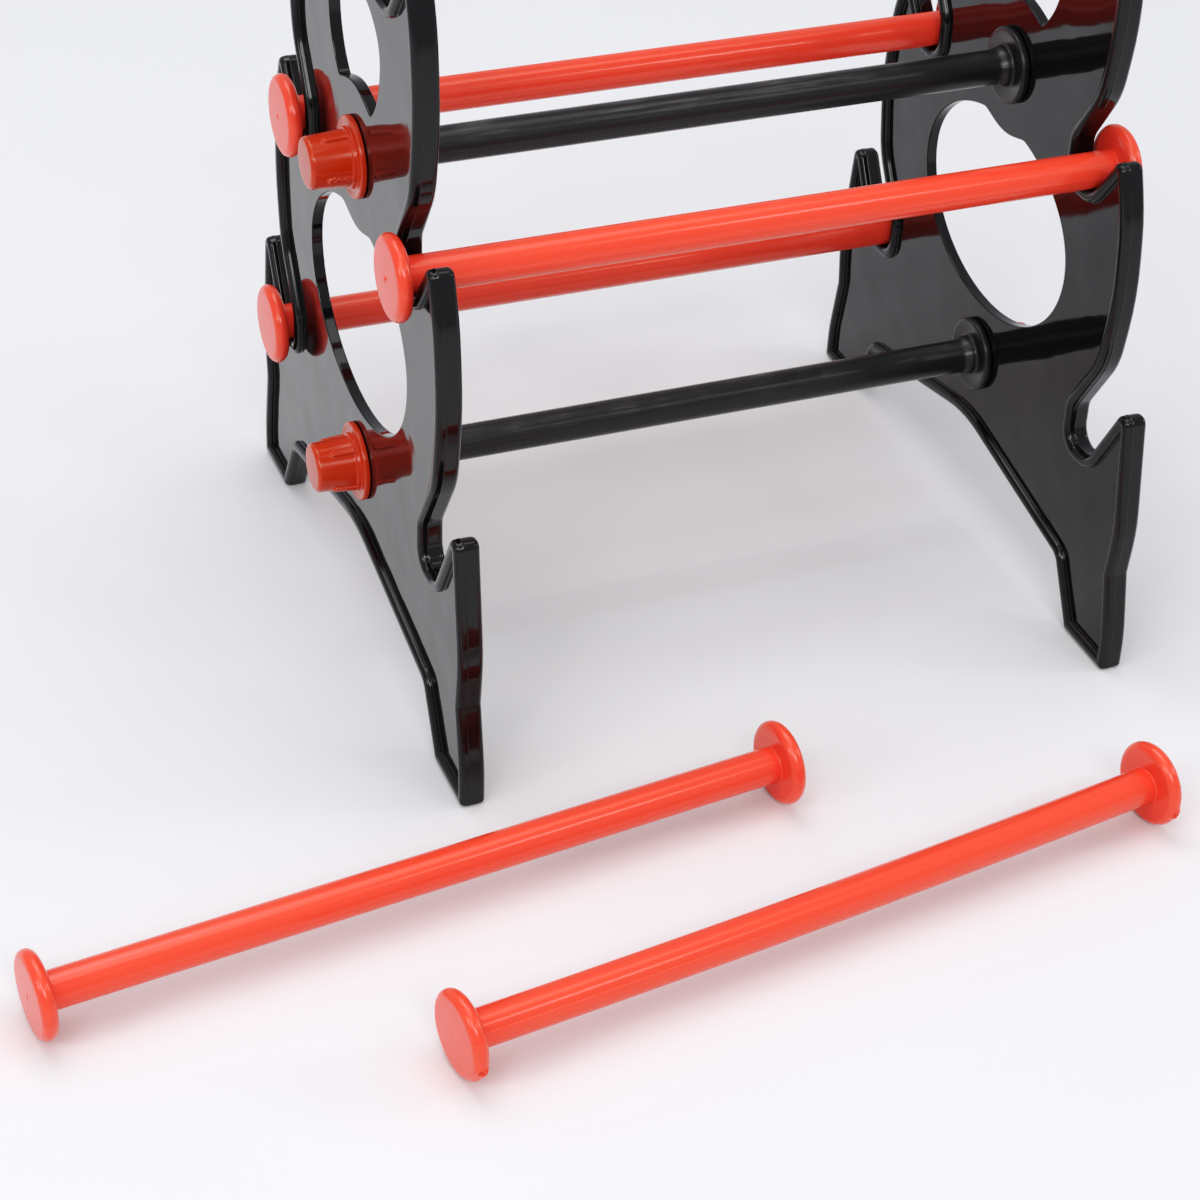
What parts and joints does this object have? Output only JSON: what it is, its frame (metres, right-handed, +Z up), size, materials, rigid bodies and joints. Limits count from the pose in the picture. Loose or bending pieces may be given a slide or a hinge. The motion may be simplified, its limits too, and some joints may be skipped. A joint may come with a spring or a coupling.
{
  "type": "ladder toss frame",
  "caption": "Black and red plastic ladder toss frame: two notched side plates on crossbars with press-on end caps, lift-out disc-headed rungs and spare rungs lying in front.",
  "frame": {"origin": "bottom centre of the whole set, the two rungs lying on the ground in front included; the ground is z = 0", "axes": "+X runs along the rungs from the left side plate to the right one, -Y is the front where the spare rungs lie, +Z is up"},
  "size_m": [0.5258, 0.4529, 0.38],
  "materials": {
    "plate_black": "gloss",
    "crossbar_black": "satin",
    "cap_red": "gloss",
    "rung_red": "satin"
  },
  "bodies": {
    "stand": {"left_side_plate": "plate_black", "right_side_plate": "plate_black", "lower_crossbar": "crossbar_black", "upper_crossbar": "crossbar_black"},
    "front_middle_rung_body": {"front_middle_rung": "rung_red"},
    "rear_bottom_rung_body": {"rear_bottom_rung": "rung_red"},
    "rear_middle_rung_body": {"rear_middle_rung": "rung_red"},
    "rear_top_rung_body": {"rear_top_rung": "rung_red"},
    "loose_rung_left_body": {"loose_rung_left": "rung_red"},
    "loose_rung_right_body": {"loose_rung_right": "rung_red"},
    "lower_left_end_cap_body": {"lower_left_end_cap": "cap_red"},
    "lower_right_end_cap_body": {"lower_right_end_cap": "cap_red"},
    "upper_left_end_cap_body": {"upper_left_end_cap": "cap_red"},
    "upper_right_end_cap_body": {"upper_right_end_cap": "cap_red"}
  },
  "joints": [
    {"name": "front_middle_rung_lift", "type": "slide", "parent": "stand", "child": "front_middle_rung_body", "axis": [0, -0.5736, 0.8192], "range_m": [0, 0.08]},
    {"name": "rear_bottom_rung_lift", "type": "slide", "parent": "stand", "child": "rear_bottom_rung_body", "axis": [0, 0.5, 0.866], "range_m": [0, 0.08]},
    {"name": "rear_middle_rung_lift", "type": "slide", "parent": "stand", "child": "rear_middle_rung_body", "axis": [0, 0.5736, 0.8192], "range_m": [0, 0.08]},
    {"name": "rear_top_rung_lift", "type": "slide", "parent": "stand", "child": "rear_top_rung_body", "axis": [0, 0.5736, 0.8192], "range_m": [0, 0.08]},
    {"name": "loose_rung_left_pick_up", "type": "slide", "parent": "stand", "child": "loose_rung_left_body", "axis": [0, 0, 1], "range_m": [0, 0.1]},
    {"name": "loose_rung_right_pick_up", "type": "slide", "parent": "stand", "child": "loose_rung_right_body", "axis": [0, 0, 1], "range_m": [0, 0.1]},
    {"name": "lower_left_end_cap_pull", "type": "slide", "parent": "stand", "child": "lower_left_end_cap_body", "axis": [-1, 0, 0], "range_m": [0, 0.03]},
    {"name": "lower_right_end_cap_pull", "type": "slide", "parent": "stand", "child": "lower_right_end_cap_body", "axis": [1, 0, 0], "range_m": [0, 0.03]},
    {"name": "upper_left_end_cap_pull", "type": "slide", "parent": "stand", "child": "upper_left_end_cap_body", "axis": [-1, 0, 0], "range_m": [0, 0.03]},
    {"name": "upper_right_end_cap_pull", "type": "slide", "parent": "stand", "child": "upper_right_end_cap_body", "axis": [1, 0, 0], "range_m": [0, 0.03]}
  ]
}
